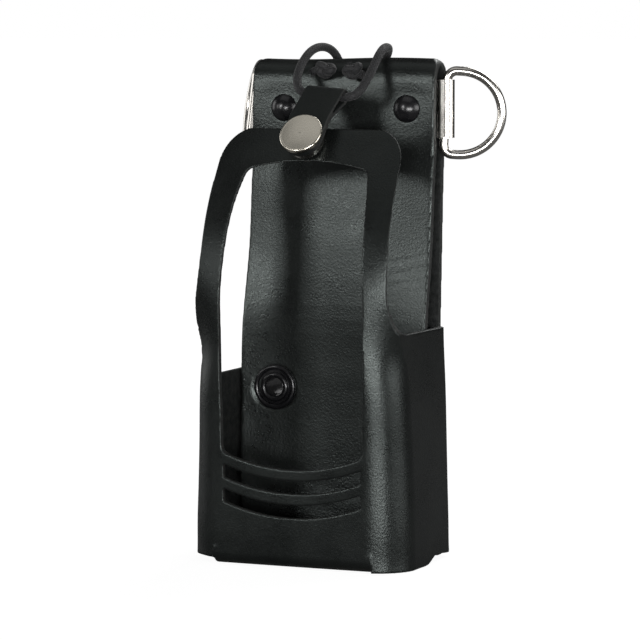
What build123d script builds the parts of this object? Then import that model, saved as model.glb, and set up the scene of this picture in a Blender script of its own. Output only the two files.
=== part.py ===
from build123d import *
import os
from math import atan2, cos, pi, radians, sin, tan

# A moulded leather holder for a portable two-way radio. A tall strap, folded over at the top,
# makes the back. A moulded wrap makes the open front frame, the side walls and the base. An
# elastic cord and a snap tab close it over the radio, and two D-rings take a shoulder strap.
#
# Millimetres. +Z is up, the front faces -Y, the base rests on z = 0, and X = 0 is the middle.

# Leather
strap_leather = 2.8
wrap_leather = 2.4
tab_leather = 1.25

# Back strap: the centre line of the folded strip, as (y, z), from the bottom of the outer
# layer, up over the loose fold and down the inner panel
strap_width = 67.6
strap_middle_x = 0.4
strap_corner = 3.0
strap_top = 170.9
strap_line = [
    (24.6, 2.0),
    (24.6, 40.0),
    (24.8, 77.0),
    (26.0, 103.0),
    (27.2, 130.0),
    (28.3, 150.0),
    (29.2, 161.0),
    (29.2, 166.4),
    (25.5, strap_top - strap_leather / 2),
    (21.6, 167.0),
    (20.2, 161.5),
    (19.7, 154.0),
    (19.4, 147.0),
    (18.6, 131.0),
    (16.1, 103.0),
    (13.9, 80.0),
    (13.4, 57.0),
    (12.2, 36.0),
    (12.0, 3.6),
]

# Front wrap: one line for each level, as (z, front y, half width, half width of the flat
# front, where the rounded corner ends in x, and how far back it ends)
corner_radius = 13.5
wrap_levels = [
    (0.0, -24.9, 39.9, 26.4, 39.9, corner_radius),
    (10.0, -24.9, 39.7, 26.2, 39.7, corner_radius),
    (22.0, -24.9, 39.4, 25.9, 39.4, corner_radius),
    (45.0, -25.1, 38.7, 25.2, 38.7, corner_radius),
    (62.0, -25.9, 38.1, 24.0, 38.1, 13.6),
    (76.0, -27.0, 37.5, 19.4, 37.3, 8.7),
    (90.0, -27.6, 37.5, 14.0, 36.6, 5.0),
    (106.0, -25.6, 37.5, 12.0, 36.4, 3.6),
    (121.0, -20.2, 37.5, 12.0, 36.4, 3.4),
    (132.0, -13.7, 37.5, 12.0, 36.4, 3.2),
    (140.0, -8.3, 37.5, 12.0, 36.4, 3.0),
    (150.0, -1.3, 37.5, 12.0, 36.4, 3.0),
]
wing_rear = 22.9
wing_corner = 3.5
wing_gap = 8.0
wall_bottom = {"left": 2.0, "right": 0.0}
wall_top = {"left": 62.8, "right": 79.3}
wall_top_radius = 8.0
arm_depth = 7.0

# Base flap: the front wall turns under, runs back, and turns up between the strap's layers
flap_half_width = 28.8
flap_rear = 20.3
flap_top = 66.0
flap_bend = 4.0

# Front frame outline and its cut-outs
frame_top = 147.2
frame_corner = 9.0
frame_outline = {
    "left": [
        (38.8, 61.6),
        (37.1, 63.6),
        (36.6, 67.5),
        (36.8, 72.0),
        (37.2, 78.0),
        (37.0, 86.0),
        (35.4, 96.0),
        (34.3, 120.0),
        (34.0, 136.0),
    ],
    "right": [
        (39.0, 77.6),
        (36.6, 80.4),
        (34.9, 85.0),
        (34.0, 92.0),
        (33.9, 104.0),
        (33.5, 120.0),
        (32.8, 136.0),
    ],
}
window_outline = [(25.9, 42.0), (26.2, 76.0), (26.1, 90.0), (25.3, 106.0), (24.3, 121.0), (22.7, 131.0)]
window_bottom = 33.3
window_bottom_rise = 5.2
window_top = 136.6
window_top_drop = 3.0
window_corner = 3.5
slot_half_width = 25.2
slot_rise = 4.6
slot_height = 4.4
slot_bottoms = (25.2, 17.0)

# D-rings: one-inch rings of round wire, each in a rolled sheet clip
ring_inner_height = 25.4
ring_wire_radius = 1.6
ring_straight = 5.0
ring_bend = 3.2
ring_bar_x = {"left": 34.1, "right": 36.2}
ring_drop = 1.2
ring_lean = {"left": 3.4, "right": 3.4}
ring_swung_back = {"left": 58.0, "right": 22.0}
clip_length = 19.8
clip_sheet = 0.8
clip_loop_radius = 2.6
clip_loop_stretch = 0.55
clip_leg_margin = 4.5
clip_y = 24.6
clip_turn = {"left": 7.0, "right": 0.0}

# Double-cap rivets through the strap and the clips
rivet_x = {"left": -21.5, "right": 24.2}
rivet_z = 153.8
rivet_cap_radius = 4.7
rivet_cap_height = 2.7
rivet_post_radius = 1.5
rivet_front = 18.3
rivet_rear = 29.4

# Eyelets low in the back, for the screws of a belt loop
eyelet_x = {"left": -22.0, "right": 22.0}
eyelet_z = 57.0
eyelet_hole_radius = 3.2
eyelet_wall = 0.6
eyelet_flange_radius = 7.8
eyelet_flange = 0.8
eyelet_front = 12.3
eyelet_rear = 25.0

# Snap fastener, measured along its own axis from its seat on the frame's top bar
snap_x = -1.5
snap_z = 141.7
snap_seat_y = -6.8
snap_lean = 35.0
snap_cap_radius = 7.5
snap_cap_rim = 1.4
snap_cap_dome = 0.3
socket_radius = 6.3
socket_bottom = 0.8
socket_top = 4.1
socket_cavity_radius = 3.0
socket_plate = 0.6
stud_flange_radius = 5.0
stud_flange = 0.5
stud_radius = 2.15
stud_top = 3.1
snap_post_radius = 1.6
snap_post_flange = 0.6

# Closure tab, in the snap's own frame: up the tab, then out along the snap's axis
tab_half_width = 7.1
tab_tilt = 5.5
tab_fold_up = 20.1
tab_fold_out = 0.5
tab_layer_gap = 0.15
tab_fold_corners = [(7.5, 6.125), (23.3, 2.0), (21.1, -2.65), (10.7, 3.6), (7.2, 4.725)]
tab_fold_radii = [8.0, 2.15, 2.15, 6.0, 5.0]

# Elastic cord: its own route by hand on each side of the tab, as points (x, y, z)
cord_radius = 1.45
cord_hole_radius = 1.6
cord_hole_z = 165.4
cord_hole_x = {"left": -5.8, "right": 7.1}
cord_in_knot_y = 17.3
cord_tab_reach = {"left": 11.0, "right": 11.3}
cord_left_leg = [(-5.8, 35.2, 165.4), (-9.2, 33.8, 174.4), (-11.8, 21.8, 175.0), (-12.9, 10.4, 167.0)]
cord_right_leg = [(14.2, 10.2, 165.4), (14.2, 21.0, 174.7), (12.7, 33.2, 174.6), (7.1, 35.2, 165.4)]
knot_half_length = 4.7
knot_radius = 3.3
knot_centres = {"left": (-4.8, 16.0, 167.1), "right": (5.5, 16.0, 166.6)}

SIDES = {"left": -1, "right": 1}
FAR = 200.0


def strip(path, thickness, samples=70):
    """The closed outline of a strip of one thickness along a path in the YZ plane."""
    outer, inner = [], []
    for index in range(samples + 1):
        along = path.position_at(index / samples)
        forward = path.tangent_at(index / samples)
        across = Vector(0, -forward.Z, forward.Y) * (thickness / 2)
        outer.append(along + across)
        inner.append(along - across)
    sides = Spline(outer), Spline(inner)
    ends = Line(outer[0], inner[0]), Line(outer[-1], inner[-1])
    return Face(Wire([*sides, *ends]))


def cylinder_y(x, z, radius, start, end):
    """A cylinder along Y between two y values."""
    seat = Plane(origin=(x, start, z), x_dir=(1, 0, 0), z_dir=(0, 1, 0))
    return seat * Cylinder(radius, end - start, align=(Align.CENTER, Align.CENTER, Align.MIN))


def front_prism(face, near, far):
    """A face drawn in x and z, as a prism between two y values."""
    seat = Plane(origin=(0, far, 0), x_dir=(1, 0, 0), z_dir=(0, -1, 0))
    return seat * extrude(face, amount=far - near)


# ---- Back strap ----


def back_strap():
    path = Spline([(0, y, z) for y, z in strap_line])
    folded = extrude(strip(path, strap_leather), amount=FAR, both=True, dir=(1, 0, 0))
    outline = Pos(strap_middle_x, 0) * Rectangle(strap_width, 2 * strap_top)
    upper = outline.vertices().group_by(Axis.Y)[-1]
    solid = folded & front_prism(fillet(upper, strap_corner), -FAR, FAR)
    for side in SIDES:
        x = rivet_x[side]
        solid -= cylinder_y(x, rivet_z, rivet_post_radius + 0.05, 0, FAR)
        solid -= cylinder_y(x, rivet_z, rivet_cap_radius + 0.05, 0, rivet_front)
        solid -= cylinder_y(x, rivet_z, rivet_cap_radius + 0.05, rivet_rear, FAR)
        x = eyelet_x[side]
        solid -= cylinder_y(x, eyelet_z, eyelet_hole_radius + eyelet_wall + 0.05, 0, FAR)
        solid -= cylinder_y(x, eyelet_z, eyelet_flange_radius + 0.05, 0, eyelet_front)
        solid -= cylinder_y(x, eyelet_z, eyelet_flange_radius + 0.05, eyelet_rear, FAR)
        solid -= cylinder_y(cord_hole_x[side], cord_hole_z, cord_hole_radius, 0, FAR)
    return solid


# ---- Front wrap ----


def wrap_lean(index):
    """The angle from upright of the front at one of the wrap's levels, in radians."""
    below = wrap_levels[max(index - 1, 0)]
    above = wrap_levels[min(index + 1, len(wrap_levels) - 1)]
    return atan2(above[1] - below[1], above[0] - below[0])


def wrap_section(index, inset):
    """The plan of the wrap at one level, drawn inset from its outer face."""
    z, front, half_width, flat, corner_x, corner_depth = wrap_levels[index]
    lean_inset = inset / cos(wrap_lean(index))
    half_width -= inset
    corner_x -= inset
    corner_back = front + corner_depth
    front += lean_inset
    rear = wing_rear - inset
    bend = wing_corner - inset
    right = [
        TangentArc((flat, front), (corner_x, corner_back), tangent=(1, 0)),
        Line((corner_x, corner_back), (half_width, rear - bend)),
        TangentArc((half_width, rear - bend), (half_width - bend, rear), tangent=(0, 1)),
    ]
    left = [edge.mirror(Plane.YZ) for edge in right]
    joins = [
        Line((-flat, front), (flat, front)),
        Line((half_width - bend, rear), (bend - half_width, rear)),
    ]
    return Plane.XY.offset(z) * Face(Wire([*right, *left, *joins]))


def wrap_form(inset):
    return loft([wrap_section(index, inset) for index in range(len(wrap_levels))])


def front_at(z):
    """The front's y at a height, between the wrap's levels."""
    for low, high in zip(wrap_levels, wrap_levels[1:]):
        if low[0] <= z <= high[0]:
            return low[1] + (high[1] - low[1]) * (z - low[0]) / (high[0] - low[0])


def above_walls(side):
    """What is cut away behind the frame's arm and above one side wall."""
    top = wall_top[side]
    foot = top + wall_top_radius
    levels = [foot, *[level[0] for level in wrap_levels if level[0] > foot + 2]]
    arm_back = [(front_at(z) + arm_depth, z) for z in levels]
    start = (arm_back[0][0] + wall_top_radius, top)
    edges = [
        Line((FAR, top), start),
        TangentArc(start, arm_back[0], tangent=(-1, 0)),
        Polyline([*arm_back, (arm_back[-1][0], FAR), (FAR, FAR), (FAR, top)]),
    ]
    seat = Plane(origin=(0, 0, 0), x_dir=(0, 1, 0), z_dir=(1, 0, 0))
    return seat * extrude(make_face(edges), amount=SIDES[side] * FAR)


def frame_surround(side):
    """What lies outside one side of the frame's outline, above its wall."""
    arm = Spline(frame_outline[side])
    end_x, end_z = frame_outline[side][-1]
    corner = TangentArc((end_x, end_z), (end_x - frame_corner, frame_top), tangent=arm.tangent_at(1))
    x, z = frame_outline[side][0]
    rest = Polyline(
        [(end_x - frame_corner, frame_top), (0, frame_top), (0, FAR), (FAR, FAR), (FAR, z), (x, z)]
    )
    prism = front_prism(make_face([arm, corner, rest]), -FAR, FAR)
    return prism if side == "right" else prism.mirror(Plane.YZ)


def window():
    """The frame's window: an arched top and a bottom that dips in the middle."""
    right = Spline([(x, z) for x, z in window_outline])
    left = right.mirror(Plane.YZ)
    low_x, low_side_z = window_outline[0]
    low_z = window_bottom + window_bottom_rise
    low = ThreePointArc((-low_x, low_z), (0, window_bottom), (low_x, low_z))
    low_sides = [Line((side * low_x, low_z), (side * low_x, low_side_z)) for side in (-1, 1)]
    high_side_x, high_side_z = window_outline[-1]
    high_x = high_side_x - 0.5
    high_z = window_top - window_top_drop
    high = ThreePointArc((-high_x, high_z), (0, window_top), (high_x, high_z))
    high_sides = [
        Line((side * high_side_x, high_side_z), (side * high_x, high_z)) for side in (-1, 1)
    ]
    face = make_face([right, left, low, *low_sides, high, *high_sides])
    corners = [v for v in face.vertices() if min(abs(v.Y - low_z), abs(v.Y - high_z)) < 0.01]
    return front_prism(fillet(corners, window_corner), -FAR, 5)


def slot(bottom):
    """One slot below the window: a band between two arcs, higher at its ends."""
    top = bottom + slot_height
    x = slot_half_width
    low = ThreePointArc((-x, bottom + slot_rise), (0, bottom), (x, bottom + slot_rise))
    high = ThreePointArc((-x, top + slot_rise), (0, top), (x, top + slot_rise))
    ends = [Line((side * x, bottom + slot_rise), (side * x, top + slot_rise)) for side in (-1, 1)]
    return front_prism(make_face([low, high, *ends]), -FAR, 5)


def base_flap():
    """The strip that turns under the front, runs back and turns up inside the back."""
    front = wrap_levels[0][1]
    inner = wrap_leather
    outer_corners = [(0, front, flap_bend + 2), (0, front, 0), (0, flap_rear, 0), (0, flap_rear, flap_top)]
    inner_corners = [
        (0, front + inner, flap_bend + 2),
        (0, front + inner, inner),
        (0, flap_rear - inner, inner),
        (0, flap_rear - inner, flap_top),
    ]
    outside = FilletPolyline(outer_corners, radius=flap_bend)
    inside = FilletPolyline(inner_corners, radius=flap_bend - inner)
    ends = [Line(outer_corners[end], inner_corners[end]) for end in (0, -1)]
    section = Face(Wire([*outside.edges(), *inside.edges(), *ends]))
    return extrude(section, amount=flap_half_width, both=True, dir=(1, 0, 0))


def front_wrap():
    solid = wrap_form(0) - wrap_form(wrap_leather)
    for side in SIDES:
        solid -= Pos(SIDES[side] * FAR, 0, wall_bottom[side] - FAR) * Box(2 * FAR, FAR, 2 * FAR)
    low_front = Box(2 * flap_half_width, 20, 2 * (flap_bend + 2))
    solid -= Pos(0, wrap_levels[0][1], 0) * low_front
    solid -= Pos(0, wing_rear, 0) * Box(2 * wing_gap, 12, 2 * FAR)
    for side in SIDES:
        solid -= above_walls(side)
        solid -= frame_surround(side)
    solid -= window()
    for bottom in slot_bottoms:
        solid -= slot(bottom)
    solid += base_flap()
    for side in SIDES:
        solid -= cylinder_y(eyelet_x[side], eyelet_z, eyelet_hole_radius + eyelet_wall + 0.05, 0, FAR)
    solid -= in_snap_frame(Cylinder(snap_post_radius + 0.05, 20))
    solid -= in_snap_frame(upright(stud_flange_radius + 0.05, 0, 10))
    solid -= in_snap_frame(upright(stud_flange_radius + 0.05, -10, -wrap_leather))
    return solid


# ---- D-rings and their clips ----


def turned_at(x, z, degrees_clockwise, part):
    """Turns a part clockwise, as seen from the front, about an axis along Y."""
    pivot = Plane(origin=(x, clip_y, z), x_dir=(1, 0, 0), z_dir=(0, 1, 0)).location
    return pivot * Rotation(0, 0, degrees_clockwise) * pivot.inverse() * part


def about_rivet(side, part):
    return turned_at(rivet_x[side], rivet_z, clip_turn[side], part)


def d_ring(side):
    """One ring, its bar upright in the clip's loop and its bow swung towards the back."""
    bar = ring_inner_height / 2 + ring_wire_radius
    corners = [(ring_straight, 0, -bar), (0, 0, -bar), (0, 0, bar), (ring_straight, 0, bar)]
    hooks = FilletPolyline(corners, radius=ring_bend)
    bow = ThreePointArc((ring_straight, 0, bar), (ring_straight + bar, 0, 0), (ring_straight, 0, -bar))
    path = Wire([*hooks.edges(), bow])
    section = Plane(origin=path @ 0, z_dir=path % 0) * Circle(ring_wire_radius)
    facing_out = {"left": 180 - ring_swung_back["left"], "right": ring_swung_back["right"]}
    ring = Rotation(0, 0, facing_out[side]) * sweep(section, path=path)
    x = SIDES[side] * ring_bar_x[side]
    z = rivet_z - ring_drop
    return about_rivet(side, turned_at(x, z, ring_lean[side], Pos(x, clip_y, z) * ring))


def loop_outline(x, radius):
    """A loop that is a little longer across the strap than through it."""
    ends = [Pos(x + shift, clip_y) * Circle(radius) for shift in (-clip_loop_stretch, clip_loop_stretch)]
    return ends[0] + ends[1] + Pos(x, clip_y) * Rectangle(2 * clip_loop_stretch, 2 * radius)


def d_ring_clip(side):
    """Sheet rolled round the ring's bar, its two legs together on the way to the rivet."""
    x = SIDES[side] * ring_bar_x[side]
    inner_end = abs(rivet_x[side]) - clip_leg_margin
    leg_length = ring_bar_x[side] - inner_end
    leg_x = SIDES[side] * (inner_end + leg_length / 2)
    legs = Pos(leg_x, clip_y) * Rectangle(leg_length, 2 * clip_sheet)
    plan = loop_outline(x, clip_loop_radius) + legs - loop_outline(x, clip_loop_radius - clip_sheet)
    clip = Pos(0, 0, rivet_z) * extrude(plan, amount=clip_length / 2, both=True)
    clip -= cylinder_y(rivet_x[side], rivet_z, rivet_post_radius + 0.05, 0, FAR)
    return about_rivet(side, clip)


# ---- Rivets ----


def dome(radius, height):
    """A shallow cap, flat below, with its crown along +Z."""
    ball = (radius**2 + height**2) / (2 * height)
    full = Pos(0, 0, height - ball) * Sphere(ball)
    return full & Pos(0, 0, height / 2) * Box(3 * radius, 3 * radius, height)


def facing(x, y, z, forward):
    """A seat with its own +Z out of the front (-Y) or out of the back (+Y)."""
    return Plane(origin=(x, y, z), x_dir=(1, 0, 0), z_dir=(0, -1 if forward else 1, 0))


def rivet_cap(side):
    return facing(rivet_x[side], rivet_front, rivet_z, True) * dome(rivet_cap_radius, rivet_cap_height)


def rivet_post(side):
    back = facing(rivet_x[side], rivet_rear, rivet_z, False) * dome(rivet_cap_radius, rivet_cap_height)
    return back + cylinder_y(rivet_x[side], rivet_z, rivet_post_radius, rivet_front, rivet_rear + 0.5)


# ---- Eyelets ----


def eyelet(side):
    """Barrel with a grooved flange and a rolled lip, seen from inside the case."""
    hole = eyelet_hole_radius
    rim = eyelet_flange_radius
    profile = Polyline(
        (hole, 0, 0.6),
        (hole, 0, eyelet_front - eyelet_rear - 0.4),
        (hole + eyelet_wall, 0, eyelet_front - eyelet_rear - 0.4),
        (hole + eyelet_wall, 0, 0),
        (rim, 0, 0),
        (rim, 0, 0.5),
    )
    bead = ThreePointArc((rim, 0, 0.5), (rim - 0.9, 0, 1.45), (rim - 1.8, 0, 0.6))
    groove = Line((rim - 1.8, 0, 0.6), (hole + 2.0, 0, 0.6))
    lip = ThreePointArc((hole + 2.0, 0, 0.6), (hole + 1.1, 0, 1.7), (hole, 0, 0.6))
    turned = revolve(Face(Wire([*profile.edges(), bead, groove, lip])), Axis.Z)
    return facing(eyelet_x[side], eyelet_front, eyelet_z, True) * turned


def eyelet_washer(side):
    """Flat ring behind the strap, round the barrel's end."""
    hole = eyelet_hole_radius + eyelet_wall
    ring = Cylinder(eyelet_flange_radius, eyelet_flange, align=(Align.CENTER, Align.CENTER, Align.MIN))
    ring -= Cylinder(hole + 0.05, 10)
    ring = fillet(ring.edges().sort_by(Axis.Z)[-1], 0.3)
    return facing(eyelet_x[side], eyelet_rear, eyelet_z, False) * ring


# ---- Snap fastener and closure tab ----


def snap_seat():
    lean = radians(snap_lean)
    return Plane(origin=(snap_x, snap_seat_y, snap_z), x_dir=(1, 0, 0), z_dir=(0, -cos(lean), sin(lean)))


def in_snap_frame(part):
    return snap_seat() * part


def on_tab(part):
    """Places a part of the tab: turned a little about the snap's axis."""
    return snap_seat() * Rotation(0, 0, -tab_tilt) * part


def upright(radius, bottom, top):
    return Pos(0, 0, bottom) * Cylinder(radius, top - bottom, align=(Align.CENTER, Align.CENTER, Align.MIN))


def tab_surface():
    """Where the tab's leather ends and the cap begins, along the snap's axis."""
    return socket_top + 2 * tab_leather + tab_layer_gap


def closure_tab():
    outer = tab_surface() - tab_leather / 2
    inner = socket_top + tab_leather / 2
    corners = [(-tab_half_width, outer), *tab_fold_corners, (-tab_half_width, inner)]
    path = FilletPolyline([(0, up, out) for up, out in corners], radius=tab_fold_radii)
    tab = extrude(strip(path, tab_leather), amount=tab_half_width, both=True, dir=(1, 0, 0))
    tip = Cylinder(tab_half_width, 40) + Pos(0, 20, 0) * Box(2 * tab_half_width, 40, 40)
    return on_tab((tab & tip) - Cylinder(snap_post_radius + 0.05, 40))


def snap_cap():
    rim = Pos(0, 0, tab_surface()) * Cylinder(
        snap_cap_radius, snap_cap_rim, align=(Align.CENTER, Align.CENTER, Align.MIN)
    )
    rim = fillet(rim.edges().sort_by(Axis.Z)[-1], 0.6)
    crown = Pos(0, 0, tab_surface() + snap_cap_rim) * dome(snap_cap_radius - 0.9, snap_cap_dome)
    return on_tab(rim + crown + upright(snap_post_radius, socket_top, tab_surface() + 0.2))


def snap_socket():
    body = fillet(upright(socket_radius, socket_bottom, socket_top).edges().sort_by(Axis.Z)[0], 0.9)
    return on_tab(body - upright(socket_cavity_radius, 0, socket_top - socket_plate))


def snap_stud():
    flange = upright(stud_flange_radius, 0, stud_flange)
    post = fillet(upright(stud_radius, 0, stud_top).edges().sort_by(Axis.Z)[-1], 0.6)
    return in_snap_frame(flange + post)


def snap_post():
    """The stud's other half, from behind the bar through the leather."""
    flange = upright(stud_flange_radius - 0.4, -wrap_leather - snap_post_flange, -wrap_leather)
    return in_snap_frame(flange + upright(snap_post_radius, -wrap_leather, 0))


# ---- Elastic cord ----


def cord_route():
    """The cord's points, from inside the left knot, over the top, through the tab and back."""
    start = (cord_hole_x["left"], cord_in_knot_y, cord_hole_z)
    end = (cord_hole_x["right"], cord_in_knot_y, cord_hole_z)
    tab_ends = [
        on_tab(Pos(SIDES[side] * cord_tab_reach[side], tab_fold_up, tab_fold_out)).position
        for side in ("left", "right")
    ]
    return [Vector(point) for point in (start, *cord_left_leg, *tab_ends, *cord_right_leg, end)]


def corner_radii(points):
    """As large a bend at each corner as its two runs allow."""
    radii = []
    for before, here, after in zip(points, points[1:], points[2:]):
        turn = radians((here - before).get_angle(after - here))
        shorter = min((here - before).length, (after - here).length)
        radii.append(0.45 * shorter / tan(turn / 2))
    return radii


def elastic_cord():
    points = cord_route()
    radii = corner_radii(points)
    print("cord points", [tuple(round(v, 2) for v in point) for point in points])
    print("cord bend radii", [round(radius, 2) for radius in radii])
    path = FilletPolyline(points, radius=radii)
    section = Plane(origin=path @ 0, z_dir=path % 0) * Circle(cord_radius)
    tube = sweep(section, path=path)
    plain_volume = pi * cord_radius**2 * path.length
    print("cord length", round(path.length, 2))
    print("volume over section times length", round(tube.volume / plain_volume, 4))
    return tube


def cord_knot(side):
    """The bulk of one overhand knot, as an egg lying along X."""
    half = Pos(0, knot_radius) * Rectangle(4 * knot_radius, 2 * knot_radius)
    egg = Ellipse(knot_half_length, knot_radius) & half
    return Pos(*knot_centres[side]) * revolve(egg, Axis.X)


def main():
    os.makedirs("parts", exist_ok=True)
    parts = {
        "back_strap": back_strap(),
        "front_wrap": front_wrap(),
        "closure_tab": closure_tab(),
        "snap_cap": snap_cap(),
        "snap_socket": snap_socket(),
        "snap_stud": snap_stud(),
        "snap_post": snap_post(),
        "elastic_cord": elastic_cord(),
    }
    for side in SIDES:
        parts["d_ring_" + side] = d_ring(side)
        parts["d_ring_clip_" + side] = d_ring_clip(side)
        parts["rivet_cap_" + side] = rivet_cap(side)
        parts["rivet_post_" + side] = rivet_post(side)
        parts["eyelet_" + side] = eyelet(side)
        parts["eyelet_washer_" + side] = eyelet_washer(side)
        parts["cord_knot_" + side] = cord_knot(side)
    for name, part in parts.items():
        export_step(part, "parts/" + name + ".step")


main()
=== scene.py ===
"""Looks for a moulded black leather radio holder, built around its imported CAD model."""

import math

import bmesh
import bpy
import numpy as np
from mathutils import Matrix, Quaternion, Vector


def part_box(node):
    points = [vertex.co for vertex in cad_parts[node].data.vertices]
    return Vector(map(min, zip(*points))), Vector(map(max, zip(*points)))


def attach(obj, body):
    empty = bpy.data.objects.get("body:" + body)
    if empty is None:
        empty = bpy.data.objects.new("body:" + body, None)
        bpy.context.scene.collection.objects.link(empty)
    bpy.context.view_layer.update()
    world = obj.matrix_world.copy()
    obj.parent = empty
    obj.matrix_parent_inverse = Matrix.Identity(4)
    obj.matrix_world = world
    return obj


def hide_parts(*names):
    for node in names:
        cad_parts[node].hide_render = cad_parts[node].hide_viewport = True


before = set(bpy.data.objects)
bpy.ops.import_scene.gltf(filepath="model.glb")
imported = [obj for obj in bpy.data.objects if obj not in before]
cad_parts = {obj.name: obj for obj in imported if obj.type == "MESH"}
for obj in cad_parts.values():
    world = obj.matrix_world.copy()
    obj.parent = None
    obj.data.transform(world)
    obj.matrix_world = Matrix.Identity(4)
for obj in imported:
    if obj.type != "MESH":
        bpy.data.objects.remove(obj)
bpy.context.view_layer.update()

MM = 0.001
SIDES = ("left", "right")

# View: degrees round the front towards +X, degrees up, and how far from the target. The lens
# and sensor are in millimetres, and everything else is in metres
CAMERA_AZIMUTH = 23.0
CAMERA_ELEVATION = 5.0
CAMERA_DISTANCE = 1.15
CAMERA_TARGET = (0.0, 0.0, 0.082)
CAMERA_LENS = 189.5
SENSOR_WIDTH = 36
LIGHT_TARGET = Vector((0, 0, 0.08))
FLOOR_REACH = 40.0

# The finish's own highlights are a little green
LEATHER_GLINT = (0.90, 1.0, 0.965)

# Elastic cord
CORD_RADIUS = 1.45 * MM
CORD_POINTS_MM = [
    (-5.8, 17.3, 165.4),
    (-5.8, 35.2, 165.4),
    (-9.2, 33.8, 174.4),
    (-11.8, 21.8, 175.0),
    (-12.9, 10.4, 167.0),
    (-10.52, 4.87, 159.24),
    (-0.8, 4.34, 158.47),
    (1.1, 4.23, 158.32),
    (11.67, 3.65, 157.49),
    (14.2, 10.2, 165.4),
    (14.2, 21.0, 174.7),
    (12.7, 33.2, 174.6),
    (7.1, 35.2, 165.4),
    (7.1, 17.3, 165.4),
]
BRAID_PITCH = 2.6 * MM
BRAID_STRANDS = 8
BRAID_DEPTH = 0.09 * MM

# The strand height at which the cord has its plain radius
BRAID_MIDDLE = 0.85

# Frayed ends: loose threads
FIBRE_COUNT = 70
FIBRE_LENGTH = 2.2 * MM
FIBRE_RADIUS = 0.09 * MM
FIBRE_RINGS = 5
FIRST_SEED = 5

# Overhand knots: how wide, high and deep, and where each one's tail points
KNOT_WIDTH = 3.0 * MM
KNOT_HEIGHT = 1.75 * MM
KNOT_DEPTH = 1.15 * MM
KNOT_LEANS = {"left": 0.25, "right": -0.35}
KNOT_TAILS = {"left": Vector((-2.2, -1.0, -1.6)), "right": Vector((1.2, -1.2, 2.2))}

STRAP_VOXEL = 0.45 * MM
WRAP_VOXEL = 0.36 * MM
TAB_VOXEL = 0.26 * MM
LEATHER_PASSES = 4
TAB_PASSES = 3

# Where the strap's rivets and eyelets pull it in, as (x, z), in metres
RIVETS = [(-0.0215, 0.1538), (0.0242, 0.1538)]
EYELETS = [(-0.022, 0.057), (0.022, 0.057)]
STRAP_MIDDLE_X = 0.0004
STRAP_HALF_WIDTH = 0.0338
FOLD_HEIGHT = 0.163

# Half way between the strap's two layers, as heights and the y at each
BETWEEN_HEIGHTS = [0, 0.04, 0.08, 0.103, 0.13, 0.15, 0.161]
BETWEEN_LAYERS = [0.0183, 0.0184, 0.0193, 0.021, 0.0229, 0.0239, 0.0247]

# Fine creases across the right of the inner panel, as (height above the first, strength)
FIRST_CREASE = 0.0985
CREASES = [(0.0, 1.0), (0.0042, 0.7), (-0.0038, 0.6)]

# Tops of the wrap's side walls
WALL_TOP_LEFT = 0.064
WALL_TOP_RIGHT = 0.081

# Snap fastener's lean from upright, and the tab's turn about its axis
SNAP_LEAN = math.radians(35)
TAB_TILT = math.radians(5.5)

# Leather, enamel and cord colours
BLACK_LEATHER = ((0.005, 0.0056, 0.0054), (0.009, 0.010, 0.0096))
STRAP_BLACK = ((0.006, 0.0066, 0.0064), (0.010, 0.011, 0.0105))
FLESH_SIDE = ((0.005, 0.005, 0.005), (0.024, 0.024, 0.024))
CUT_EDGE = ((0.012, 0.012, 0.012), (0.034, 0.033, 0.032))
ENAMEL = ((0.006, 0.006, 0.007), (0.035, 0.034, 0.032))
CORD_THREADS = ((0.005, 0.005, 0.006), (0.022, 0.022, 0.024))
# Painted shade laid into the cord's grooves between strands
CORD_GROOVE_SHADE = (0.002, 0.002, 0.002)
POLISHED_NICKEL = (0.82, 0.79, 0.74)
SATIN_NICKEL = (0.84, 0.79, 0.68)


# ---- Shader nodes ----


def new_material(name):
    """An empty material: its node tree and the shader that its look goes into."""
    material = bpy.data.materials.new(name)
    material.use_nodes = True
    tree = material.node_tree
    return material, tree, tree.nodes["Principled BSDF"]


def node(tree, kind, inputs=None, **settings):
    """Adds a node, with its settings and with each input set or linked."""
    made = tree.nodes.new("ShaderNode" + kind)
    for key, value in settings.items():
        setattr(made, key, value)
    for key, value in (inputs or {}).items():
        if isinstance(value, bpy.types.NodeSocket):
            tree.links.new(value, made.inputs[key])
        else:
            made.inputs[key].default_value = value
    return made


def places(tree, stretch=(1, 1, 1)):
    """Object coordinates in metres, stretched along each axis."""
    coordinates = node(tree, "TexCoord").outputs["Object"]
    return node(tree, "Mapping", {"Vector": coordinates, "Scale": stretch}).outputs["Vector"]


def noise(tree, where, scale, detail=3.0, roughness=0.55):
    inputs = {"Vector": where, "Scale": scale, "Detail": detail, "Roughness": roughness}
    return node(tree, "TexNoise", inputs).outputs["Fac"]


def cells(tree, where, scale):
    """Rounded cells: 0 in their middles, higher at their borders."""
    inputs = {"Vector": where, "Scale": scale, "Smoothness": 0.35}
    return node(tree, "TexVoronoi", inputs, feature="SMOOTH_F1").outputs["Distance"]


def mapped(tree, value, low, high, start=0.0, end=1.0):
    """A value from one range to another, kept inside it."""
    inputs = {"Value": value, "From Min": start, "From Max": end, "To Min": low, "To Max": high}
    return node(tree, "MapRange", inputs).outputs["Result"]


def maths(tree, operation, first, second):
    return node(tree, "Math", {0: first, 1: second}, operation=operation).outputs[0]


def blended(tree, factor, first, second):
    made = node(tree, "Mix", {"Factor": factor}, data_type="FLOAT")
    for socket, value in ((made.inputs[2], first), (made.inputs[3], second)):
        if isinstance(value, bpy.types.NodeSocket):
            tree.links.new(value, socket)
        else:
            socket.default_value = value
    return made.outputs[0]


def tinted(tree, factor, first, second):
    """A colour between two others."""
    made = node(tree, "Mix", {"Factor": factor}, data_type="RGBA")
    for socket, value in ((made.inputs[6], first), (made.inputs[7], second)):
        if isinstance(value, bpy.types.NodeSocket):
            tree.links.new(value, socket)
        else:
            socket.default_value = (*value, 1.0)
    return made.outputs[2]


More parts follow.
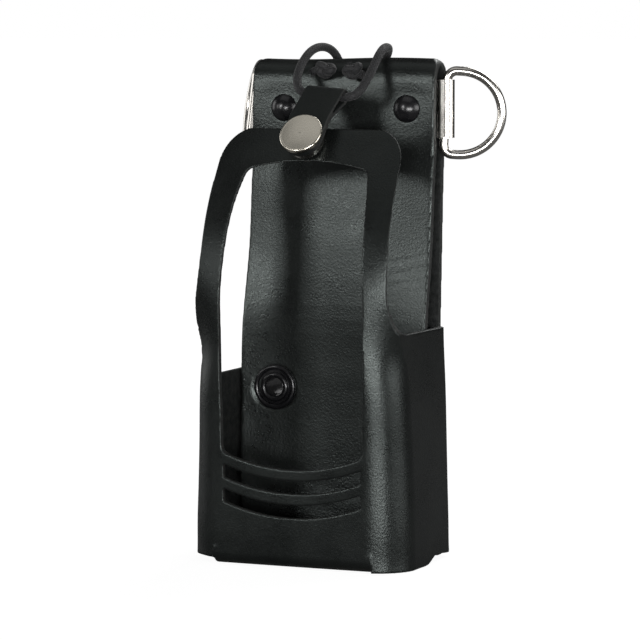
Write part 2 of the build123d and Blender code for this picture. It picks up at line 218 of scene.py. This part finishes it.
def relief(tree, shader, height, distance):
    """Bump from a height, whose full range is a distance in metres."""
    inputs = {"Height": height, "Distance": distance, "Strength": 1.0}
    bump = node(tree, "Bump", inputs)
    tree.links.new(bump.outputs["Normal"], shader.inputs["Normal"])


def attribute(tree, name):
    return node(tree, "Attribute", attribute_name=name).outputs["Fac"]


# ---- Materials ----


def leather(name, shades, roughness, grain, grain_depth, specular):
    """Finished leather, with fibrous flesh and sealed cut edges where the mesh says so."""
    material, tree, shader = new_material(name)
    where = places(tree)
    pebbles = cells(tree, where, 1.0 / grain)
    fine = cells(tree, where, 2.7 / grain)
    soft = noise(tree, where, 55, 4)
    speckle = noise(tree, where, 900, 2)
    flesh = attribute(tree, "flesh")
    edge = attribute(tree, "edge")

    fibres = noise(tree, places(tree, (1, 1, 0.35)), 1500, 5, 0.7)
    tufts = noise(tree, where, 420, 4, 0.6)
    layers = noise(tree, places(tree, (0.25, 0.25, 1)), 1100, 3, 0.6)

    colour = tinted(tree, mapped(tree, soft, 0, 1, 0.35, 0.68), *shades)
    flesh_colour = tinted(tree, mapped(tree, tufts, 0, 1, 0.35, 0.7), *FLESH_SIDE)
    edge_colour = tinted(tree, mapped(tree, layers, 0, 1, 0.3, 0.7), *CUT_EDGE)
    colour = tinted(tree, edge, colour, edge_colour)
    colour = tinted(tree, flesh, colour, flesh_colour)
    tree.links.new(colour, shader.inputs["Base Color"])

    shine = mapped(tree, soft, roughness[0], roughness[1], 0.32, 0.7)
    shine = maths(tree, "ADD", shine, mapped(tree, speckle, -0.03, 0.03, 0.3, 0.7))
    shine = blended(tree, edge, shine, 0.6)
    shine = blended(tree, flesh, shine, 0.95)
    tree.links.new(shine, shader.inputs["Roughness"])
    shader.inputs["Specular IOR Level"].default_value = specular
    shader.inputs["Specular Tint"].default_value = (*LEATHER_GLINT, 1.0)

    waves = noise(tree, where, 160, 2)
    grains = maths(tree, "MULTIPLY", pebbles, 0.6)
    height = maths(tree, "ADD", grains, maths(tree, "MULTIPLY", fine, 0.4))
    height = maths(tree, "ADD", height, maths(tree, "MULTIPLY", waves, 0.25))
    height = blended(tree, edge, height, maths(tree, "MULTIPLY", layers, 1.4))
    height = blended(tree, flesh, height, maths(tree, "MULTIPLY", fibres, 5.0))
    relief(tree, shader, height, grain_depth)
    return material


def nickel(name, roughness, scratch_stretch, tint):
    """Plated metal with fine scratches and faint clouding."""
    material, tree, shader = new_material(name)
    where = places(tree)
    scratches = noise(tree, places(tree, scratch_stretch), 2600, 3, 0.7)
    clouds = noise(tree, where, 130, 3)
    colour = tinted(tree, mapped(tree, clouds, 0, 1, 0.3, 0.7), [c * 0.93 for c in tint], tint)
    tree.links.new(colour, shader.inputs["Base Color"])
    shader.inputs["Metallic"].default_value = 1.0
    shine = mapped(tree, clouds, *roughness, 0.3, 0.7)
    shine = maths(tree, "ADD", shine, mapped(tree, scratches, -0.02, 0.05, 0.4, 0.7))
    tree.links.new(shine, shader.inputs["Roughness"])
    relief(tree, shader, scratches, 0.0015 * MM)
    return material


def gloss_black(name):
    """Black enamel on brass, smooth, with a few dull patches and dust specks."""
    material, tree, shader = new_material(name)
    where = places(tree)
    clouds = noise(tree, where, 240, 3)
    specks = noise(tree, where, 2400, 2, 0.5)
    colour = tinted(tree, mapped(tree, specks, 0, 1, 0.66, 0.74), *ENAMEL)
    tree.links.new(colour, shader.inputs["Base Color"])
    tree.links.new(mapped(tree, clouds, 0.24, 0.34, 0.35, 0.7), shader.inputs["Roughness"])
    shader.inputs["Coat Weight"].default_value = 0.3
    shader.inputs["Coat Roughness"].default_value = 0.2
    height = maths(tree, "ADD", clouds, maths(tree, "MULTIPLY", specks, 0.3))
    relief(tree, shader, height, 0.012 * MM)
    return material


def braid(name):
    """Black braided cord: thread colour and fuzz over the modelled strands, with painted shade
    darkening the grooves between them.
    """
    material, tree, shader = new_material(name)
    where = places(tree)
    threads = noise(tree, where, 5200, 3, 0.7)
    patches = noise(tree, where, 700, 2)
    low = attribute(tree, "groove_shade")
    colour = tinted(tree, mapped(tree, threads, 0, 1, 0.3, 0.7), *CORD_THREADS)
    # Painted shade: the grooves between strands are darkened towards near black
    colour = tinted(tree, maths(tree, "MULTIPLY", low, 0.8), colour, CORD_GROOVE_SHADE)
    tree.links.new(colour, shader.inputs["Base Color"])
    tree.links.new(mapped(tree, patches, 0.62, 0.82, 0.3, 0.7), shader.inputs["Roughness"])
    shader.inputs["Sheen Weight"].default_value = 0.12
    shader.inputs["Sheen Roughness"].default_value = 0.5
    relief(tree, shader, threads, 0.05 * MM)
    return material


def pale_floor(name):
    """A floor that looks white to the camera, most of all far away, and lights little itself."""
    material, tree, shader = new_material(name)
    shader.inputs["Base Color"].default_value = (0.18, 0.18, 0.18, 1)
    shader.inputs["Roughness"].default_value = 1.0
    shader.inputs["Specular IOR Level"].default_value = 0.0
    shader.inputs["Emission Color"].default_value = (1, 1, 1, 1)
    seen = node(tree, "LightPath").outputs["Is Camera Ray"]
    reach = node(tree, "VectorMath", {0: places(tree)}, operation="LENGTH").outputs["Value"]
    glow = mapped(tree, reach, 0.93, 1.0, 0.15, 1.2)
    tree.links.new(maths(tree, "MULTIPLY", seen, glow), shader.inputs["Emission Strength"])
    return material


# ---- Meshes ----


def add_object(name, data):
    made = bpy.data.objects.new(name, data)
    bpy.context.scene.collection.objects.link(made)
    return made


def mesh_object(name, vertices, faces, material):
    data = bpy.data.meshes.new(name)
    data.from_pydata([tuple(v) for v in vertices], [], faces)
    data.polygons.foreach_set("use_smooth", [True] * len(data.polygons))
    data.materials.append(material)
    data.update()
    return add_object(name, data)


def evaluated_mesh(made):
    bpy.context.view_layer.update()
    graph = bpy.context.evaluated_depsgraph_get()
    return bpy.data.meshes.new_from_object(made.evaluated_get(graph))


def softened(source, name, voxel, passes, material):
    """A moulded copy of a CAD solid: evenly meshed, with its cut edges rounded over."""
    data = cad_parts[source].data.copy()
    shape = bmesh.new()
    shape.from_mesh(data)
    bmesh.ops.remove_doubles(shape, verts=shape.verts, dist=0.002 * MM)
    shape.to_mesh(data)
    shape.free()
    rough = add_object(name + "_rough", data)
    remesh = rough.modifiers.new("even", "REMESH")
    remesh.mode = "VOXEL"
    remesh.voxel_size = voxel
    smooth = rough.modifiers.new("round", "SMOOTH")
    smooth.factor = 0.5
    smooth.iterations = passes
    made = evaluated_mesh(rough)
    bpy.data.objects.remove(rough)
    made.name = name
    made.materials.clear()
    made.materials.append(material)
    made.polygons.foreach_set("material_index", [0] * len(made.polygons))
    made.polygons.foreach_set("use_smooth", [True] * len(made.polygons))
    return add_object(name, made)


def vertex_places(data):
    flat = np.empty(len(data.vertices) * 3)
    data.vertices.foreach_get("co", flat)
    return flat.reshape(-1, 3)


def vertex_normals(data):
    flat = np.empty(len(data.vertices) * 3)
    data.vertex_normals.foreach_get("vector", flat)
    return flat.reshape(-1, 3)


def move_vertices(data, where):
    data.vertices.foreach_set("co", where.ravel())
    data.update()


def paint(data, name, values):
    layer = data.attributes.new(name, "FLOAT", "POINT")
    layer.data.foreach_set("value", values.astype(np.float32))


def ramp(values, start, end):
    """Smoothly from 0 at start to 1 at end."""
    t = np.clip((values - start) / (end - start), 0, 1)
    return t * t * (3 - 2 * t)


def bump_at(x, z, centre, width, height):
    """A soft round hill in the plane of the strap."""
    return np.exp(-((x - centre[0]) ** 2 + (z - centre[1]) ** 2 / (height / width) ** 2) / width**2)


def paint_sides(data, outward):
    """Marks flesh and cut edges from how each vertex faces against the finished side."""
    facing = (vertex_normals(data) * outward).sum(axis=1)
    paint(data, "flesh", ramp(-facing, 0.35, 0.75))
    paint(data, "edge", 1 - ramp(np.abs(facing), 0.45, 0.85))


# ---- Cord ----


def cord_line():
    """The cord's centre line: points read from its smooth curve."""
    curve = bpy.data.curves.new("cord_line", "CURVE")
    curve.dimensions = "3D"
    curve.resolution_u = 32
    spline = curve.splines.new("NURBS")
    spline.points.add(len(CORD_POINTS_MM) - 1)
    for point, place in zip(spline.points, CORD_POINTS_MM):
        point.co = (*[c * MM for c in place], 1)
    spline.order_u = 3
    spline.use_endpoint_u = True
    holder = add_object("cord_line", curve)
    line = vertex_places(evaluated_mesh(holder)).copy()
    bpy.data.objects.remove(holder)
    return line


def spaced(line, step):
    """The same line with its points an even step apart."""
    lengths = np.linalg.norm(np.diff(line, axis=0), axis=1)
    along = np.concatenate([[0], np.cumsum(lengths)])
    count = max(int(along[-1] / step), 4)
    targets = np.linspace(0, along[-1], count + 1)
    return np.stack([np.interp(targets, along, line[:, axis]) for axis in range(3)], axis=1)


def section_frames(line):
    """At each point of a line, two directions across it that don't twist along it."""
    tangents = [Vector(t).normalized() for t in np.gradient(line, axis=0)]
    first = tangents[0].orthogonal().normalized()
    frames = []
    for before, tangent in zip([tangents[0], *tangents], tangents):
        first = before.rotation_difference(tangent) @ first
        first = (first - tangent * first.dot(tangent)).normalized()
        frames.append((first.copy(), tangent.cross(first)))
    return frames


def braided_tube(name, line, radius, material, segments=40):
    """A round cord whose surface carries two crossing sets of strands."""
    line = spaced(line, 0.16 * MM)
    frames = section_frames(line)
    step = np.linalg.norm(line[1] - line[0])
    vertices, groove_shades = [], []
    for index, (centre, (first, second)) in enumerate(zip(line, frames)):
        along = index * step / BRAID_PITCH * 2 * math.pi
        for corner in range(segments):
            angle = 2 * math.pi * corner / segments
            right = math.cos(BRAID_STRANDS * angle / 2 + along)
            left = math.cos(BRAID_STRANDS * angle / 2 - along)
            height = max(abs(right), abs(left)) - BRAID_MIDDLE
            reach = radius + BRAID_DEPTH * height * 3
            outward = first * math.cos(angle) + second * math.sin(angle)
            vertices.append(Vector(centre) + outward * reach)
            # How deep each point lies between strands, which sets the painted groove shade
            groove_shades.append(min(max(-height * 4, 0), 1))
    faces = tube_faces(len(line), segments)
    made = mesh_object(name, vertices, faces, material)
    paint(made.data, "groove_shade", np.array(groove_shades))
    return made, line


def tube_faces(rings, segments):
    """Quads round a tube of rings, with both ends closed."""
    faces = []
    for ring in range(rings - 1):
        for corner in range(segments):
            here = ring * segments + corner
            following = ring * segments + (corner + 1) % segments
            faces.append((here, following, following + segments, here + segments))
    faces.append(tuple(range(segments))[::-1])
    faces.append(tuple(range((rings - 1) * segments, rings * segments)))
    return faces


def knot_line(centre, turn, tail):
    """One overhand knot seen from the front, from the hole behind it to its cut tail."""
    points = []
    for index in range(33):
        t = math.radians(-25 + 350 * index / 32)
        x = KNOT_WIDTH * (math.sin(t) + 2 * math.sin(2 * t)) / 3
        z = KNOT_HEIGHT * (math.cos(t) - 2 * math.cos(2 * t)) / 3
        y = -KNOT_DEPTH * math.sin(3 * t)
        spun = Quaternion((0, 1, 0), turn) @ Vector((x, y, z))
        points.append(centre + spun)
    end = points[-1]
    points += [end + tail * 0.5, end + tail]
    return np.array([tuple(p) for p in points])


def fibres(base, direction, seed):
    """Loose thread ends fanned out from a cut cord, as (vertices, faces)."""
    rng = np.random.default_rng(seed)
    across = direction.orthogonal().normalized()
    other = direction.cross(across).normalized()
    vertices, faces = [], []
    for _ in range(FIBRE_COUNT):
        angle = rng.uniform(0, 2 * math.pi)
        reach = math.sqrt(rng.uniform(0, 1))
        side = across * math.cos(angle) + other * math.sin(angle)
        start = base + side * reach * CORD_RADIUS * 0.8
        heading = (direction + side * reach * rng.uniform(0.2, 0.9)).normalized()
        droop = Vector((rng.normal(0, 0.2), rng.normal(0, 0.2), rng.normal(-0.1, 0.2)))
        size = FIBRE_LENGTH * rng.uniform(0.5, 1.0)
        first = len(vertices)
        for ring in range(FIBRE_RINGS):
            t = ring / (FIBRE_RINGS - 1)
            centre = start + heading * size * t + droop * size * t * t
            width = FIBRE_RADIUS * (1 - 0.6 * t)
            for corner in range(4):
                turn = math.pi * corner / 2
                vertices.append(centre + (across * math.cos(turn) + other * math.sin(turn)) * width)
        faces += [tuple(first + c for c in face) for face in tube_faces(FIBRE_RINGS, 4)]
    return vertices, faces


def make_knot(side, material):
    """A knot with its short tail and frayed end, as one piece."""
    low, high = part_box("cord_knot_" + side)
    centre = (Vector(low) + Vector(high)) / 2
    tail = KNOT_TAILS[side] * MM
    line = knot_line(centre, KNOT_LEANS[side], tail)
    knot, line = braided_tube("knot_" + side, line, CORD_RADIUS * 0.9, material, 28)
    end = Vector(line[-1])
    direction = tail.normalized()
    seed = FIRST_SEED + SIDES.index(side)
    vertices, faces = fibres(end - direction * 0.4 * MM, direction, seed)
    frayed = mesh_object("fray_" + side, vertices, faces, material)
    # The loose threads get no painted groove shade
    paint(frayed.data, "groove_shade", np.zeros(len(vertices)))
    frayed.parent = knot
    return knot


def make_cord(material):
    cord, line = braided_tube("cord", cord_line(), CORD_RADIUS, material)
    knots = [make_knot(side, material) for side in SIDES]
    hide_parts("elastic_cord")
    for side, knot in zip(SIDES, knots):
        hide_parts("cord_knot_" + side)
    for piece in (cord, *knots):
        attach(piece, "case")


# ---- Leather pieces ----


def make_strap(material):
    """The folded back strap, with its bow, its pinches and its creases."""
    strap = softened("back_strap", "strap", STRAP_VOXEL, LEATHER_PASSES, material)
    data = strap.data
    where = vertex_places(data)
    x, y, z = where.T.copy()
    middle = np.interp(z, BETWEEN_HEIGHTS, BETWEEN_LAYERS)
    inner = y < middle
    from_middle = (x - STRAP_MIDDLE_X) / STRAP_HALF_WIDTH
    below_fold = 1 - ramp(z, 0.158, 0.166)
    low = 1 - ramp(z, 0.066, 0.112)

    # The upper panel bows a little towards the front, and the lower half is cupped
    bow = (0.8 * from_middle**2 - 0.4) * MM * (1 - ramp(z, 0.140, 0.156)) * (1 - low)
    cupped = (1.2 - 3.4 * from_middle**2) * MM * low * ramp(z, 0.0, 0.03)
    cupped += 1.0 * MM * (1 - ramp(z, 0.030, 0.064)) * ramp(z, 0.0, 0.03)
    shift = np.where(inner, bow + cupped, -0.2 * bow)

    # The leather is drawn in round each rivet and eyelet, and swells below each rivet
    for centre in RIVETS:
        pinch = bump_at(x, z, centre, 0.0085, 0.0085) - 0.7 * bump_at(x, z, centre, 0.0052, 0.0052)
        shift += np.where(inner, 0.9, -1.2) * MM * pinch * below_fold
        crown = bump_at(x, z, (centre[0], centre[1] - 0.017), 0.012, 0.010)
        shift -= np.where(inner, 0.35, -0.3) * MM * crown
    for centre in EYELETS:
        dimple = bump_at(x, z, centre, 0.0135, 0.0135) - 0.8 * bump_at(x, z, centre, 0.0085, 0.0085)
        shift += np.where(inner, 0.7, -0.3) * MM * dimple

    # A shallow furrow below the fold, fine creases, and slow waves
    furrow = np.exp(-(((z - 0.1385) / 0.0078) ** 2))
    shift += np.where(inner, 1.0 * MM, 0) * furrow
    for offset, size in CREASES:
        across = (z - FIRST_CREASE - offset) - 0.22 * (x - 0.027)
        crease = np.exp(-((across / 0.0009) ** 2)) * ramp(x, 0.016, 0.026)
        shift += np.where(inner, 0.07, 0.0) * MM * size * crease
    shift += 0.15 * MM * np.sin(z / 0.021 + 1.1) * np.sin(x / 0.013 + 0.4) * below_fold

    # The cupped half spreads a little to the left
    where[:, 0] -= 0.9 * MM * ramp(-x, 0.020, 0.033) * low * ramp(z, 0.0, 0.03) * inner
    where[:, 1] += shift
    where[:, 2] += 0.35 * MM * np.sin(x / 0.011) * ramp(z, 0.164, 0.170)
    move_vertices(data, where)

    outward = np.stack([0 * x, y - middle, np.maximum(z - FOLD_HEIGHT, 0)], axis=1)
    outward /= np.linalg.norm(outward, axis=1)[:, None] + 1e-9
    paint_sides(data, outward)
    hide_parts("back_strap")
    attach(strap, "case")


def wrap_outward(where):
    """The direction that the wrap's finished side faces, near each vertex."""
    x, y, z = where.T
    across = np.maximum(np.abs(x) - 0.026, 0)
    through = np.maximum(np.abs(y) - 0.011, 0)
    corner = np.stack([across * np.sign(x), through * np.sign(y), 0 * x], axis=1)
    wall_top = np.where(x < 0, WALL_TOP_LEFT, WALL_TOP_RIGHT)
    above = z > wall_top
    frame_facing = np.stack([0.12 * np.sign(x), 0 * x - 1, ramp(z, 0.09, 0.14) * 0.7], axis=1)
    outward = np.where(above[:, None], frame_facing, corner)
    under = (z < 0.0035) & (np.abs(x) < 0.028) & (y > -0.022)
    outward[under] = (0, 0, -1)
    return outward / (np.linalg.norm(outward, axis=1)[:, None] + 1e-9)


def make_wrap(material):
    """The moulded front, walls and base."""
    wrap = softened("front_wrap", "wrap", WRAP_VOXEL, LEATHER_PASSES, material)
    data = wrap.data
    where = vertex_places(data)
    outward = wrap_outward(where)
    paint_sides(data, outward)
    x, y, z = where.T.copy()
    low = 1 - ramp(z, 0.004, 0.02)
    front = ramp(-y, 0.012, 0.02)

    # The low front is slightly full
    belly = np.exp(-((z - 0.012) / 0.016) ** 2) * np.cos(np.clip(x / 0.03, -1, 1) * math.pi / 2)
    where[:, 1] -= 0.5 * MM * belly * front * (z < 0.06)

    # The walls' lower edges are uneven, and the right one kicks up at the rear
    right_wall = ramp(x, 0.035, 0.038)
    kicked_up = 2.0 * MM * ramp(y, 0.0, 0.009)
    uneven = 0.5 * MM * np.sin(y / 0.0045) * ramp(y, -0.01, 0.0)
    where[:, 2] += right_wall * low * (kicked_up + uneven)
    left_wall = ramp(-x, 0.030, 0.036)
    where[:, 2] += left_wall * low * 0.4 * MM * np.sin(y / 0.006)

    # The walls wave slowly, and nothing goes below the floor
    wave = 0.25 * MM * np.sin(z / 0.017 + 0.6) * np.sin(y / 0.012 + x / 0.02)
    where[:, 0] += wave * (ramp(np.abs(x), 0.034, 0.037)) * (z < 0.08)
    where[:, 2] = np.maximum(where[:, 2], 0)
    move_vertices(data, where)
    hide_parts("front_wrap")
    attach(wrap, "case")


def make_tab(material):
    """The short folded tab under the snap's cap."""
    tab = softened("closure_tab", "tab", TAB_VOXEL, TAB_PASSES, material)
    data = tab.data
    down = math.sin(TAB_TILT)
    side = np.array([math.cos(TAB_TILT), -down * math.sin(SNAP_LEAN), -down * math.cos(SNAP_LEAN)])
    facing = np.abs(vertex_normals(data) @ side)
    paint(data, "edge", ramp(facing, 0.5, 0.9))
    paint(data, "flesh", np.zeros(len(data.vertices)))
    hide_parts("closure_tab")
    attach(tab, "tab")


def finish_metal():
    """Gives the CAD's metal parts their plating and enamel."""
    polished = nickel("nickel_polished", (0.17, 0.24), (1, 1, 0.12), POLISHED_NICKEL)
    satin = nickel("nickel_satin", (0.23, 0.27), (1, 1, 1), SATIN_NICKEL)
    black = gloss_black("black_enamel")
    for name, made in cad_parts.items():
        if name.startswith(("d_ring", "snap")):
            kind = satin if name == "snap_cap" else polished
        elif name.startswith(("rivet", "eyelet")):
            kind = black
        else:
            continue
        for slot in made.material_slots:
            slot.material = kind
        made.data.polygons.foreach_set("use_smooth", [True] * len(made.data.polygons))


# ---- Studio ----


def make_camera():
    azimuth = math.radians(CAMERA_AZIMUTH)
    elevation = math.radians(CAMERA_ELEVATION)
    level = math.cos(elevation)
    away = Vector((level * math.sin(azimuth), -level * math.cos(azimuth), math.sin(elevation)))
    camera = add_object("camera", bpy.data.cameras.new("camera"))
    camera.data.lens = CAMERA_LENS
    camera.data.sensor_width = SENSOR_WIDTH
    camera.data.clip_end = 50
    camera.location = Vector(CAMERA_TARGET) + away * CAMERA_DISTANCE
    camera.rotation_euler = (-away).to_track_quat("-Z", "Y").to_euler()
    bpy.context.scene.camera = camera


def softbox(name, azimuth, elevation, distance, width, height, power):
    """A rectangular light facing the object; azimuth is in degrees from the front to +X."""
    light = bpy.data.lights.new(name, "AREA")
    light.shape = "RECTANGLE"
    light.size = width
    light.size_y = height
    light.energy = power
    a, e = math.radians(azimuth), math.radians(elevation)
    away = Vector((math.cos(e) * math.sin(a), -math.cos(e) * math.cos(a), math.sin(e)))
    lamp = add_object(name, light)
    lamp.location = LIGHT_TARGET + away * distance
    lamp.rotation_euler = (-away).to_track_quat("-Z", "Y").to_euler()
    lamp.visible_camera = False


def make_studio():
    softbox("front_box", -23, 15, 1.3, 0.26, 0.32, 3.4)
    softbox("left_box", -50, 10, 1.2, 0.3, 0.4, 0.9)
    softbox("corner_box", 27, 0, 1.2, 0.8, 0.24, 10.5)
    softbox("top_box", -10, 75, 1.2, 1.2, 0.8, 1.1)
    softbox("left_side", -100, 12, 1.2, 0.9, 0.7, 2.8)
    softbox("right_side", 85, 8, 1.2, 0.9, 0.7, 6.4)
    softbox("back_box", 165, 40, 1.3, 0.9, 0.5, 7)

    world = bpy.data.worlds.new("studio")
    bpy.context.scene.world = world
    world.use_nodes = True
    tree = world.node_tree
    background = tree.nodes["Background"]
    background.inputs["Color"].default_value = (1, 1, 1, 1)
    seen = node(tree, "LightPath").outputs["Is Camera Ray"]
    tree.links.new(blended(tree, seen, 0.05, 1.0), background.inputs["Strength"])

    size = FLOOR_REACH
    corners = [(-size, -size, 0), (size, -size, 0), (size, size, 0), (-size, size, 0)]
    floor = mesh_object("floor", corners, [(0, 1, 2, 3)], pale_floor("floor"))
    bpy.context.scene.view_settings.view_transform = "Standard"


def main():
    make_camera()
    make_cord(braid("elastic_braid"))
    make_strap(leather("strap_finish", STRAP_BLACK, (0.28, 0.35), 0.8 * MM, 0.065 * MM, 0.5))
    make_wrap(leather("wrap_finish", BLACK_LEATHER, (0.27, 0.33), 0.65 * MM, 0.05 * MM, 0.42))
    make_tab(leather("tab_finish", BLACK_LEATHER, (0.62, 0.74), 0.5 * MM, 0.05 * MM, 0.3))
    finish_metal()
    make_studio()


main()
